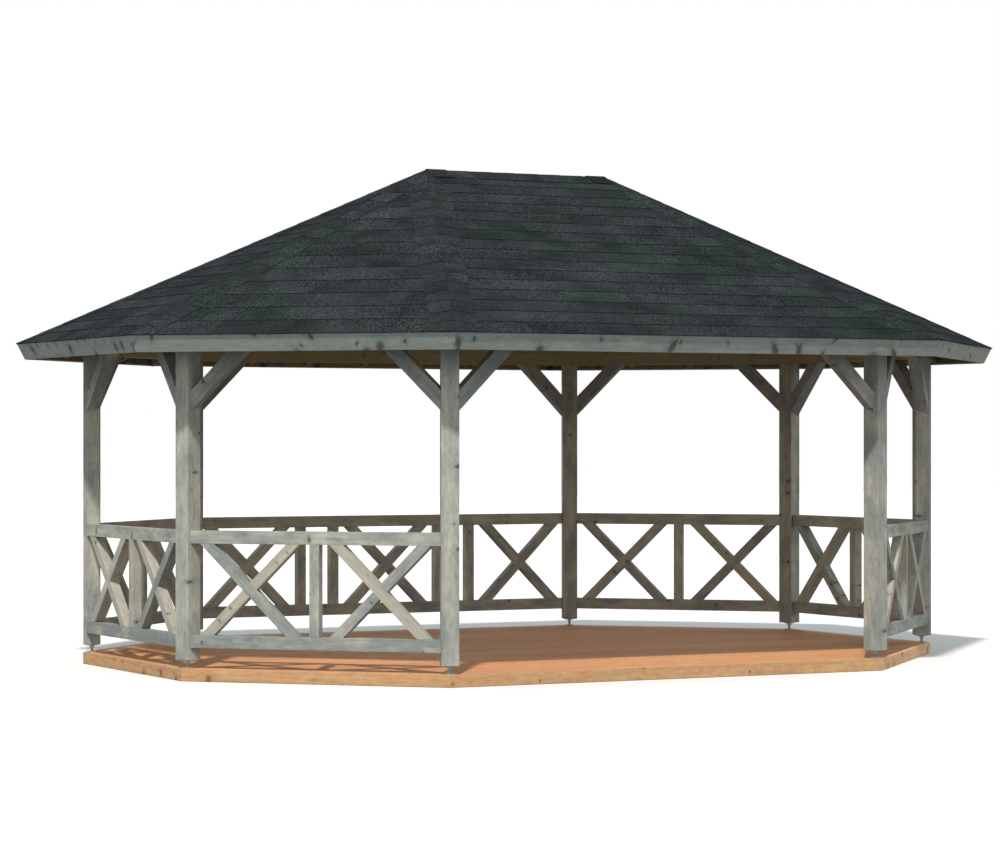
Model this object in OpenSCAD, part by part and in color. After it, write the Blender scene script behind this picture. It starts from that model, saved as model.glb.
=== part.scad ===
// Garden gazebo: eight posts on a stretched octagon, under a hipped shingle roof.
// Millimetres, +Z up. The origin is on the ground, in the middle of the deck.
// The long axis is X and the open entrance faces -Y.

/* [Plan] */
// Distance between the post lines of the left and right ends
centres_x = 6000; // [5200:50:8000]
// Distance between the post lines of the front and the back
centres_y = 4500; // [3600:50:5400]

/* [Deck] */
// Height of the deck's top above the ground
deck_h = 85; // [70:5:200]
// Reach of the deck beyond the post lines
deck_edge = 60; // [40:5:150]
// Thickness of the deck boards
deck_board_t = 28; // [20:1:40]
// Thickness of the rim boards round the deck
rim_t = 28; // [20:1:45]
// Width of a joist
joist_w = 45; // [35:1:95]
// Distance between joists
joist_spacing = 500; // [300:50:700]

/* [Posts] */
// Width of a square post
post_w = 120; // [95:5:160]
// Height from the deck to the foot of a post
foot_gap = 55; // [30:5:120]
// Diameter of the steel rod under a post
anchor_rod_d = 20; // [12:1:30]
// Diameter of the plates at both ends of the rod
anchor_plate_d = 80; // [50:5:90]
// Thickness of those plates
anchor_plate_t = 6; // [4:1:10]

/* [Wall plates and braces] */
// Height from the deck to the underside of the wall plates
headroom = 2158; // [1900:10:2500]
// Width of a wall plate
plate_w = 95; // [70:5:120]
// Height of a wall plate
plate_h = 180; // [120:5:220]
// Width of a knee brace, across its slope
brace_w = 95; // [60:5:140]
// Thickness of a knee brace, through the side
brace_t = 90; // [60:5:90]
// Reach of a knee brace along the wall plate, from the post
brace_reach = 400; // [300:10:600]

/* [Railings] */
// Height of the railing's top above the deck
railing_h = 932; // [850:10:1100]
// Height of the railing's underside above the deck
railing_gap = 140; // [60:5:200]
// Depth from the posts' outer corners back to the railing's face
railing_set_back = 21; // [0:1:40]
// Height of a rail
rail_h = 88; // [60:1:120]
// Thickness of the rails and uprights, through the side
rail_t = 70; // [45:1:70]
// Width of an upright
upright_w = 70; // [45:1:95]
// Width of a diagonal
diagonal_w = 70; // [45:1:95]
// Thickness of a diagonal
diagonal_t = 68; // [25:1:68]
// Clearance from a crossing to the posts and uprights beside it
crossing_gap = 70; // [20:5:200]
// Distance between the paired uprights of the back railing
upright_pair = 285; // [200:5:400]

/* [Roof] */
// Slope of every roof face
roof_pitch = 25; // [20:0.5:40]
// Reach of the fascia's top edge beyond the post lines
overhang = 500; // [300:10:700]
// Depth of the notch where a rafter sits over the wall plate
seat_cut = 20; // [10:1:40]
// Width of a rafter
rafter_w = 45; // [35:1:70]
// Height of a common rafter
rafter_h = 100; // [80:1:150]
// Height of a hip rafter
hip_h = 120; // [100:1:180]
// Distance between common rafters
rafter_spacing = 500; // [350:10:700]
// Height of the ridge beam
ridge_h = 145; // [120:5:200]
// Half width of the eight-sided block at each end of the ridge
hub_r = 70; // [60:1:110]
// Height of that block
hub_h = 220; // [180:5:300]
// Clearance between that block and the nearest common rafter
hub_clearance = 4; // [2:0.5:10]
// Thickness of the roof boards
sheathing_t = 18; // [15:1:25]
// Thickness of the shingles
shingle_t = 6; // [4:0.5:10]
// Reach of the shingles beyond the fascia
drip = 8; // [5:1:20]
// Thickness of the fascia boards
fascia_t = 22; // [18:1:30]
// Height of the fascia boards
fascia_h = 125; // [110:5:180]
// Thickness of one layer of the ridge cap
cap_t = 4; // [3:0.5:8]
// Width of the ridge cap on each slope
cap_w = 150; // [100:10:200]
// Length of the doubled cap at each end of the ridge
cap_end = 160; // [100:10:300]

/* [Hidden] */
half_corner = 22.5;                         // half the turn between two neighbouring sides
apothem = centres_y / 2;                    // from a hub to the post line of its sides
hub_x = (centres_x - centres_y) / 2;        // from the middle to each end of the ridge
plate_z = deck_h + headroom;
plate_top = plate_z + plate_h;
rafter_drop = (overhang - plate_w / 2) * tan(roof_pitch);
eave_z = plate_top - seat_cut - rafter_drop + (rafter_h + sheathing_t) / cos(roof_pitch);
slope_run = (apothem + overhang) / cos(roof_pitch);
peak_z = eave_z + (apothem + overhang) * tan(roof_pitch);
sheathing_drop = sheathing_t / cos(roof_pitch);
hip_pitch = atan(tan(roof_pitch) * cos(half_corner));
hip_run = (apothem + overhang) / cos(half_corner);
hip_backing = rafter_w / 2 * sin(half_corner) * tan(roof_pitch);
hip_top = -(sheathing_drop + hip_backing) * cos(hip_pitch);
hub_corner = hub_r / cos(half_corner);
hub_top = peak_z - sheathing_drop - hub_corner * tan(roof_pitch);
ridge_top = peak_z - sheathing_drop - rafter_w / 2 * tan(roof_pitch);
post_out = post_w / 2 * (cos(half_corner) + sin(half_corner));
rail_out = post_out - railing_set_back;     // from the post line to the railing's face
rail_mid = rail_out - rail_t / 2;
lower_rail_z = deck_h + railing_gap;
upper_rail_z = deck_h + railing_h - rail_h;
infill_z = lower_rail_z + rail_h;
infill_h = upper_rail_z - infill_z;
wide = centres_x + 4 * overhang;            // longer than any piece, for cutting
tall = 3 * (deck_h + headroom);             // taller than the gazebo, for cutting

// Each side: its direction, and the end of the ridge that it turns about (0 is the ridge itself)
side_angle = [-90, -45, 0, 45, 90, 135, 180, 225];
side_end = [0, 1, 1, 1, 0, -1, -1, -1];
// Post number k stands between side k and the next one
post_end = [1, 1, 1, 1, -1, -1, -1, -1];
straight_sides = [0, 2, 4, 6];
corner_sides = [1, 3, 5, 7];

deck_color = [0.64, 0.42, 0.24];
wood_color = [0.56, 0.55, 0.46];
shade_color = [0.42, 0.36, 0.26];
steel_color = [0.62, 0.63, 0.64];
shingle_color = [0.23, 0.26, 0.27];

function flat_half(i) = side_end[i] == 0 ? hub_x : 0;
function side_half(i) = flat_half(i) + apothem * tan(half_corner);
function post_face(i) = side_half(i) + rail_out * tan(half_corner) - post_w / 2 / cos(half_corner);
function post_angle(k) = side_angle[k] + half_corner;
function post_at(k, r) = [post_end[k] * hub_x + r * cos(post_angle(k)), r * sin(post_angle(k))];
function outline(offset) = [for (k = [0:7]) post_at(k, (apothem + offset) / cos(half_corner))];

// Puts children on side i: +X points out, Y runs along the side, the post line is at x = apothem
module on_side(i) {
    translate([side_end[i] * hub_x, 0, 0])
        rotate([0, 0, side_angle[i]])
            children();
}

// Puts children at post k, or at a hub where r is 0, with +X pointing out
module on_post(k, r = apothem / cos(half_corner)) {
    translate(concat(post_at(k, r), 0))
        rotate([0, 0, post_angle(k)])
            children();
}

// On a side: puts children at the eave, with +X down the slope and +Z square to the roof
module on_slope() {
    translate([apothem + overhang, 0, eave_z])
        rotate([0, roof_pitch, 0])
            children();
}

// On a side: everything between its two hip lines, drawn in by inset from each
module bay(i, inset = 0, start = 0) {
    near = max(start, (inset / cos(half_corner) - flat_half(i)) / tan(half_corner));
    far = apothem + 2 * overhang;
    near_half = flat_half(i) - inset / cos(half_corner) + near * tan(half_corner);
    far_half = flat_half(i) - inset / cos(half_corner) + far * tan(half_corner);
    outer = [[far, -far_half], [far, far_half]];
    inner = near_half > 0.001 ? [[near, near_half], [near, -near_half]] : [[near, 0]];
    linear_extrude(height = tall)
        polygon(concat(outer, inner));
}

module in_bay(i, inset = 0, start = 0) {
    on_side(i)
        intersection() {
            bay(i, inset, start);
            children();
        }
}

// A long box across the side, from x0 to x1 and z0 to z1
module across(x0, x1, z0, z1) {
    translate([x0, -wide / 2, z0])
        cube([x1 - x0, wide, z1 - z0]);
}

module deck_boards() {
    color(deck_color)
        translate([0, 0, deck_h - deck_board_t])
            linear_extrude(height = deck_board_t)
                polygon(outline(deck_edge - rim_t));
}

module deck_joists() {
    count = floor((centres_x / 2 - joist_w) / joist_spacing);
    color(deck_color)
        intersection() {
            linear_extrude(height = deck_h - deck_board_t)
                polygon(outline(deck_edge - rim_t));
            for (n = [-count:count])
                translate([n * joist_spacing - joist_w / 2, -wide / 2, 0])
                    cube([joist_w, wide, tall]);
        }
}

module rim_boards(sides) {
    color(deck_color)
        for (i = sides)
            in_bay(i)
                across(apothem + deck_edge - rim_t, apothem + deck_edge, 0, deck_h);
}

module post_anchors() {
    color(steel_color)
        for (k = [0:7])
            on_post(k)
                translate([0, 0, deck_h]) {
                    cylinder(h = anchor_plate_t, d = anchor_plate_d, $fn = 48);
                    cylinder(h = foot_gap, d = anchor_rod_d, $fn = 32);
                    translate([0, 0, foot_gap - anchor_plate_t])
                        cylinder(h = anchor_plate_t, d = anchor_plate_d, $fn = 48);
                }
}

module post(k) {
    color(wood_color)
        on_post(k)
            translate([-post_w / 2, -post_w / 2, deck_h + foot_gap])
                cube([post_w, post_w, headroom - foot_gap]);
}

module rails(i) {
    in_bay(i, inset = post_w / 2)
        for (z = [lower_rail_z, upper_rail_z])
            across(apothem + rail_out - rail_t, apothem + rail_out, z, z + rail_h);
}

// Run along the rail of a diagonal's middle line, where the whole crossing is e wide
function crossing_run(e) = infill_h
    * (infill_h * e - diagonal_w * sqrt(pow(infill_h, 2) + pow(e, 2) - pow(diagonal_w, 2)))
    / (pow(infill_h, 2) - pow(diagonal_w, 2));

module upright(y) {
    translate([apothem + rail_out - rail_t, y - upright_w / 2, infill_z])
        cube([rail_t, upright_w, infill_h]);
}

// Two crossed diagonals, halved into each other, in the panel between y0 and y1
module crossing(y0, y1) {
    run = crossing_run(y1 - y0 - 2 * crossing_gap);
    angle = atan(infill_h / run);
    intersection() {
        across(0, 2 * apothem, infill_z, infill_z + infill_h);
        for (turn = [-angle, angle])
            translate([apothem + rail_mid, (y0 + y1) / 2, infill_z + infill_h / 2])
                rotate([turn, 0, 0])
                    cube([diagonal_t, 2 * (infill_h + run), diagonal_w], center = true);
    }
}

// Railing of a short side: one upright in the middle and a crossing on each half
module short_railing(i) {
    color(wood_color) {
        rails(i);
        on_side(i) {
            upright(0);
            crossing(-post_face(i), -upright_w / 2);
            crossing(upright_w / 2, post_face(i));
        }
    }
}

// Railing of the long back: three crossings between two pairs of uprights
module long_railing(i) {
    inner = (side_half(i) - upright_pair) / 3;
    outer = inner + upright_pair;
    color(wood_color) {
        rails(i);
        on_side(i) {
            for (y = [-outer, -inner, inner, outer])
                upright(y);
            crossing(-post_face(i), -outer - upright_w / 2);
            crossing(-inner + upright_w / 2, inner - upright_w / 2);
            crossing(outer + upright_w / 2, post_face(i));
        }
    }
}

module wall_plate(i) {
    in_bay(i)
        across(apothem - plate_w / 2, apothem + plate_w / 2, plate_z, plate_top);
}

module wall_plates(sides) {
    color(wood_color)
        for (i = sides)
            wall_plate(i);
}

// The two knee braces of a side, with their face half a post's width out from the post line
module braces(i) {
    face = side_half(i) - post_w / 2 / cos(half_corner);
    depth = brace_w * sqrt(2);
    color(wood_color)
        in_bay(i, inset = post_w / 2)
            for (s = [0, 1])
                mirror([0, s, 0])
                    translate([apothem + post_w / 2, face, plate_z])
                        rotate([90, 0, -90])
                            linear_extrude(height = brace_t)
                                polygon([
                                    [brace_reach, 0],
                                    [brace_reach - depth, 0],
                                    [-post_w, depth - brace_reach - post_w],
                                    [-post_w, -brace_reach - post_w]
                                ]);
}

module fascia(sides) {
    color(wood_color)
        for (i = sides)
            in_bay(i)
                on_slope()
                    across(-fascia_t, 0, -fascia_h, 0);
}

module common_rafters() {
    color(shade_color)
        for (i = [0:7]) {
            start = side_end[i] == 0 ? rafter_w / 2 : hub_corner + hub_clearance;
            count = floor((side_half(i) - rafter_w) / rafter_spacing);
            difference() {
                in_bay(i, inset = rafter_w / 2, start = start)
                    on_slope()
                        for (n = [-count:count])
                            translate([0, n * rafter_spacing - rafter_w / 2, -sheathing_t - rafter_h])
                                translate([-2 * slope_run, 0, 0])
                                    cube([2 * slope_run - fascia_t, rafter_w, rafter_h]);
                wall_plate(i);
            }
        }
}

module hip_rafter(k) {
    difference() {
        intersection() {
            on_post(k, 0)
                translate([hip_run, 0, eave_z])
                    rotate([0, hip_pitch, 0])
                        translate([-2 * hip_run, -rafter_w / 2, hip_top - hip_h])
                            cube([2.1 * hip_run, rafter_w, hip_h]);
            on_post(k, 0)
                translate([hub_r, -rafter_w, 0])
                    cube([hip_run, 2 * rafter_w, tall]);
        }
        for (i = [k, (k + 1) % 8]) {
            wall_plate(i);
            on_side(i)
                on_slope()
                    across(-fascia_t, overhang, -overhang, overhang);
        }
    }
}

module hip_rafters() {
    color(shade_color)
        for (k = [0:7])
            hip_rafter(k);
}

module hub_block(s) {
    translate([s * hub_x, 0, hub_top - hub_h])
        rotate([0, 0, half_corner])
            linear_extrude(height = hub_h)
                polygon([for (n = [0:7]) hub_corner * [cos(n * 45 + half_corner), sin(n * 45 + half_corner)]]);
}

module ridge_hubs() {
    color(shade_color)
        for (s = [-1, 1])
            hub_block(s);
}

module ridge_beam() {
    color(shade_color)
        difference() {
            translate([-hub_x, -rafter_w / 2, ridge_top - ridge_h])
                cube([2 * hub_x, rafter_w, ridge_h]);
            for (s = [-1, 1])
                translate([0, 0, hub_h / 2])
                    hub_block(s);
            for (s = [-1, 1])
                hub_block(s);
        }
}

// One roof face: boards between the fascias, shingles over them and past the fascia
module roof_panel(i) {
    color(shingle_color)
        in_bay(i)
            on_slope() {
                across(-2 * slope_run, -fascia_t, -sheathing_t, 0);
                across(-2 * slope_run, drip, 0, shingle_t);
            }
}

module ridge_cap() {
    color(shingle_color)
        for (i = [0, 4])
            in_bay(i)
                on_slope() {
                    translate([-2 * slope_run, -hub_x, shingle_t])
                        cube([slope_run + cap_w, 2 * hub_x, cap_t]);
                    for (s = [-1, 1])
                        translate([-2 * slope_run, s * (hub_x - cap_end / 2) - cap_end / 2, shingle_t])
                            cube([slope_run + cap_w, cap_end, 2 * cap_t]);
                }
}

deck_boards();
deck_joists();
rim_boards(straight_sides);  // deck_rim_straight
rim_boards(corner_sides);  // deck_rim_corner
post_anchors();
post(0);  // post_front_right
post(1);  // post_right_front
post(2);  // post_right_back
post(3);  // post_back_right
post(4);  // post_back_left
post(5);  // post_left_back
post(6);  // post_left_front
post(7);  // post_front_left
short_railing(1);  // railing_front_right
short_railing(2);  // railing_right
short_railing(3);  // railing_back_right
long_railing(4);  // railing_back
short_railing(5);  // railing_back_left
short_railing(6);  // railing_left
short_railing(7);  // railing_front_left
wall_plates(straight_sides);  // wall_plates_straight
wall_plates(corner_sides);  // wall_plates_corner
braces(0);  // braces_front
braces(1);  // braces_front_right
braces(2);  // braces_right
braces(3);  // braces_back_right
braces(4);  // braces_back
braces(5);  // braces_back_left
braces(6);  // braces_left
braces(7);  // braces_front_left
fascia(straight_sides);  // fascia_straight
fascia(corner_sides);  // fascia_corner
common_rafters();
hip_rafters();
ridge_hubs();
ridge_beam();
roof_panel(0);  // roof_front
roof_panel(1);  // roof_front_right
roof_panel(2);  // roof_right
roof_panel(3);  // roof_back_right
roof_panel(4);  // roof_back
roof_panel(5);  // roof_back_left
roof_panel(6);  // roof_left
roof_panel(7);  // roof_front_left
ridge_cap();
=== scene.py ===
import math
import random

import bmesh
import bpy
from mathutils import Matrix, Vector


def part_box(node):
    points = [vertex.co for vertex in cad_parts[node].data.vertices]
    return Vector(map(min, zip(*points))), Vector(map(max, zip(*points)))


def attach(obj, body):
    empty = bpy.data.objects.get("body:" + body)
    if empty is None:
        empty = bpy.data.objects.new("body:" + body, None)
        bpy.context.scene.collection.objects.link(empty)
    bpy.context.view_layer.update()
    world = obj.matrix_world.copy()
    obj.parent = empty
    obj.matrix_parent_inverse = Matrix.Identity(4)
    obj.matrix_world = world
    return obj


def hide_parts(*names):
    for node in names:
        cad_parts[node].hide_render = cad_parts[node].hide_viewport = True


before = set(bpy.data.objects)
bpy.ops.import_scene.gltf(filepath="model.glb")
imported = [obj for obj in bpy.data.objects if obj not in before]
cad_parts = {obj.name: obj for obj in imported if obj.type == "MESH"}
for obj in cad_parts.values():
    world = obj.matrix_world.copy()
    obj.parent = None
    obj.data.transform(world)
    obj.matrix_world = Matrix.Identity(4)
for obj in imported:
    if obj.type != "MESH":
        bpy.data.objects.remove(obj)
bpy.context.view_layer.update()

# ---- Plan: metres, read off the frame ----------------------------------------------------------
# The gazebo is a long octagon. Every side is worked in its own space: +X points out,
# +Y runs to the right as seen from outside, and the middles of the posts are at x = LINE.
TURN = math.radians(22.5)
COS, SIN, TAN = math.cos(TURN), math.sin(TURN), math.tan(TURN)
UP, OUTWARD = Vector((0, 0, 1)), Vector((1, 0, 0))

post_lo, post_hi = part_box("post_front_right")
post_mid = (post_lo + post_hi) / 2
POST = (post_hi.x - post_lo.x) / (COS + SIN)
LINE = -post_mid.y
HUB_X = post_mid.x - LINE * TAN         # half the ridge's length
FOOT_Z, PLATE_Z = post_lo.z, post_hi.z

SIDES = {  # name: (direction in degrees, which end of the ridge it turns about)
    "front": (-90, 0), "front_right": (-45, 1), "right": (0, 1), "back_right": (45, 1),
    "back": (90, 0), "back_left": (135, -1), "left": (180, -1), "front_left": (225, -1),
}
CORNERS = {  # post: (direction of its outer face in degrees, end of the ridge)
    "front_right": (-67.5, 1), "right_front": (-22.5, 1), "right_back": (22.5, 1),
    "back_right": (67.5, 1), "back_left": (112.5, -1), "left_back": (157.5, -1),
    "left_front": (202.5, -1), "front_left": (247.5, -1),
}
STRAIGHT = ("front", "right", "back", "left")
ANGLED = ("front_right", "back_right", "back_left", "front_left")

deck_lo, deck_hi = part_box("deck_boards")
DECK_Z, DECK_BOARD_T = deck_hi.z, deck_hi.z - deck_lo.z
rim_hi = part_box("deck_rim_straight")[1]
DECK_OUT, RIM_T = rim_hi.y - LINE, rim_hi.y - deck_hi.y
plate_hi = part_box("wall_plates_straight")[1]
PLATE_W, PLATE_TOP = 2 * (plate_hi.y - LINE), plate_hi.z
rail_lo, rail_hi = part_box("railing_right")
rail_lo, rail_hi = rail_lo - Vector((HUB_X, 0, 0)), rail_hi - Vector((HUB_X, 0, 0))
brace_lo, brace_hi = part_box("braces_right")
BRACE_T, BRACE_MID = brace_hi.x - brace_lo.x, (brace_lo.x + brace_hi.x) / 2 - HUB_X
hub_lo, hub_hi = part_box("ridge_hubs")
HUB_R = hub_hi.y * COS
ridge_lo, ridge_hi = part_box("ridge_beam")
RAFTER_W = ridge_hi.y - ridge_lo.y
fascia_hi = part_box("fascia_straight")[1]

# What the boxes don't give, at the CAD's own values
RAIL_H, UPRIGHT_W, DIAGONAL_W, DIAGONAL_T = 0.088, 0.070, 0.070, 0.068
CROSSING_GAP, UPRIGHT_PAIR = 0.070, 0.285
BRACE_W, BRACE_REACH = 0.095, 0.400
PITCH = math.radians(25)
FASCIA_T, FASCIA_H, SHEATHING_T = 0.022, 0.125, 0.018
RAFTER_H, HIP_H, RAFTER_SPACING = 0.100, 0.120, 0.500
JOIST_W, JOIST_SPACING = 0.045, 0.500
DRIP, SHINGLE_T = 0.008, 0.006
OVERLONG = 4.0      # how far a bar runs either way before it is sawn down to its side
EAVE = fascia_hi.y
EAVE_Z = fascia_hi.z - FASCIA_T * math.sin(PITCH)
DOWN = Vector((math.cos(PITCH), 0, -math.sin(PITCH)))   # down a side's roof slope
OUT = Vector((math.sin(PITCH), 0, math.cos(PITCH)))     # square out of it
SLOPE = EAVE / math.cos(PITCH)                          # from the eave to the ridge


def about_hub(angle, end):
    """A space with X in a direction in degrees, at one end of the ridge or, for 0, in its middle."""
    return Matrix.Translation((end * HUB_X, 0, 0)) @ Matrix.Rotation(math.radians(angle), 4, "Z")


def at_side(side):
    return about_hub(*SIDES[side])


def at_corner(corner):
    return about_hub(*CORNERS[corner])


def flat_half(side):
    """What the ridge adds to half the length of a side: nothing, except on the two long ones."""
    return 0 if SIDES[side][1] else HUB_X


def half(side, x=None):
    """Half the length of a side at distance x from the hub, between its two hip lines."""
    return flat_half(side) + (LINE if x is None else x) * TAN


def end_cut(side, s, inset=0.0):
    """The plane of a hip line, drawn in by inset. s is +1 for the right end, -1 for the left."""
    return Vector((LINE, s * (half(side) - inset / COS), 0)), Vector((-SIN, s * COS, 0))


def mitres(side, inset=0.0):
    """The cuts at both ends of what lies along a side."""
    return [end_cut(side, s, inset) for s in (-1, 1)]


def on_slope(down, y, out):
    """A point of a side's roof: down the slope from the fascia's top edge, along it, square to it."""
    return Vector((EAVE, y, EAVE_Z)) + DOWN * down + OUT * out


# ---- Timber yard: every board and beam is sawn here --------------------------------------------
rng = random.Random(20)


class Stock:
    """Gathers sawn pieces into one mesh, each with its own grain and tone."""

    def __init__(self):
        self.points, self.faces, self.grain, self.tone, self.bare = [], [], [], [], []

    def add(self, bm, place, tone=None, shift=None, butt=None):
        """Takes in a mesh. Its tone runs from 0 to 1. Its shift moves its pattern: left to chance, it is
        where in the log the piece was sawn, along it and 5 to 17 cm off the pith. Faces that look the
        way of butt are marked as bare."""
        first = len(self.points)
        tone = rng.random() if tone is None else tone
        shift = shift or Vector((rng.uniform(0, 40), rng.uniform(-0.06, 0.06), rng.uniform(0.05, 0.16)))
        bm.verts.index_update()
        for v in bm.verts:
            self.points.append(place @ v.co)
            self.grain.append(v.co + shift)
            self.tone.append(tone)
        bm.normal_update()
        for f in bm.faces:
            self.faces.append([first + v.index for v in f.verts])
            self.bare.append(1.0 if butt and f.normal.dot(butt) > 0.5 else 0.0)
        bm.free()

    def piece(self, name, material, slot, *nodes, smooth=None):
        """Makes the object, which takes the place of the named nodes. Smooth is the angle in degrees
        up to which its edges are smoothed over."""
        me = bpy.data.meshes.new(name)
        me.from_pydata(self.points, [], self.faces)
        grain = me.attributes.new("grain", "FLOAT_VECTOR", "POINT")
        grain.data.foreach_set("vector", [c for g in self.grain for c in g])
        tone = me.attributes.new("tone", "FLOAT", "POINT")
        tone.data.foreach_set("value", self.tone)
        bare = me.attributes.new("bare", "FLOAT", "FACE")
        bare.data.foreach_set("value", self.bare)
        me.materials.append(material)
        if smooth:
            me.shade_smooth()
            me.set_sharp_from_angle(angle=math.radians(smooth))
        me.update()
        ob = bpy.data.objects.new(name, me)
        bpy.context.collection.objects.link(ob)
        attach(ob, "root")
        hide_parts(*nodes)
        return ob


def saw(bm, point, normal):
    """Cuts off what lies on the normal's side and closes the cut."""
    everything = bm.verts[:] + bm.edges[:] + bm.faces[:]
    bmesh.ops.bisect_plane(bm, geom=everything, dist=1e-6, plane_co=point, plane_no=normal, clear_outer=True)
    rim = [e for e in bm.edges if e.is_boundary]
    if rim:
        bmesh.ops.edgeloop_fill(bm, edges=rim)


def plane_reaches(bm, point, normal):
    """Whether anything lies on the side of a plane that its normal looks to."""
    return any((v.co - point).dot(normal) > 1e-6 for v in bm.verts)


def bar_space(a, b, face):
    """A bar's own space: X along its grain from a to b, Z out of its show face."""
    x = (b - a).normalized()
    z = (face - face.project(x)).normalized()
    y = z.cross(x)
    m = Matrix((x, y, z)).transposed().to_4x4()
    m.translation = a
    return m


def timber(stock, place, a, b, face, width, thick, cuts=(), tone=None, arris=0.003, rounds=2,
           back=None):
    """A bar from a to b, with its show face towards face, sawn by cuts and with eased edges. Where
    back is given, it is the way that an unstained face looks, in the bar's own space."""
    a, b, face = Vector(a), Vector(b), Vector(face)
    space = bar_space(a, b, face)
    inward, turn = space.inverted(), space.to_3x3().inverted()
    length = (b - a).length
    bm = bmesh.new()
    size = Matrix.Diagonal((length, width, thick, 1))
    bmesh.ops.create_cube(bm, size=1, matrix=Matrix.Translation((length / 2, 0, 0)) @ size)
    for point, normal in cuts:
        point, normal = inward @ point, turn @ normal
        if plane_reaches(bm, point, normal):
            saw(bm, point, normal)
    if len(bm.faces) < 4:
        bm.free()
        return
    bmesh.ops.bevel(bm, geom=bm.edges[:], offset=arris, segments=rounds, profile=0.6, affect="EDGES",
                    clamp_overlap=True)
    stock.add(bm, place @ space, tone, butt=back)


def mitred_bar(stock, side, x, z, face, width, thick, inset=0.0, tone=None, **finish):
    """A bar all along a side through (x, z), sawn on its hip lines or inset from them."""
    a, b = (x, -OVERLONG, z), (x, OVERLONG, z)
    timber(stock, at_side(side), a, b, face, width, thick, mitres(side, inset), tone, **finish)


# ---- Materials ---------------------------------------------------------------------------------
BARE_WOOD = "#9a8d6b"       # a board's unstained back
CUT_FELT = "#16181a"        # the black edge of a cut shingle


def linear(hex_colour):
    """An sRGB hex colour as the linear RGBA that a shader takes."""
    parts = [int(hex_colour[i:i + 2], 16) / 255 for i in (1, 3, 5)]
    return tuple(c / 12.92 if c <= 0.04045 else ((c + 0.055) / 1.055) ** 2.4 for c in parts) + (1.0,)


def node(tree, kind, inputs=None, stops=(), **settings):
    """Adds a node with its settings. An input is a value, a socket, or a node, which gives its
    first output in use. Stops are the (position, hex colour) pairs of a colour ramp."""
    made = tree.nodes.new(kind)
    for key, value in settings.items():
        setattr(made, key, value)
    for key, value in (inputs or {}).items():
        if isinstance(value, bpy.types.Node):
            value = next(s for s in value.outputs if s.enabled)
        if isinstance(value, bpy.types.NodeSocket):
            tree.links.new(value, made.inputs[key])
        else:
            made.inputs[key].default_value = value
    for n, (position, colour) in enumerate(stops):
        band = made.color_ramp.elements
        stop = band[n] if n < len(band) else band.new(position)
        stop.position, stop.color = position, linear(colour)
    return made


def new_material(name):
    material = bpy.data.materials.new(name)
    material.use_nodes = True
    material.node_tree.nodes.clear()
    return material, material.node_tree


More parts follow.
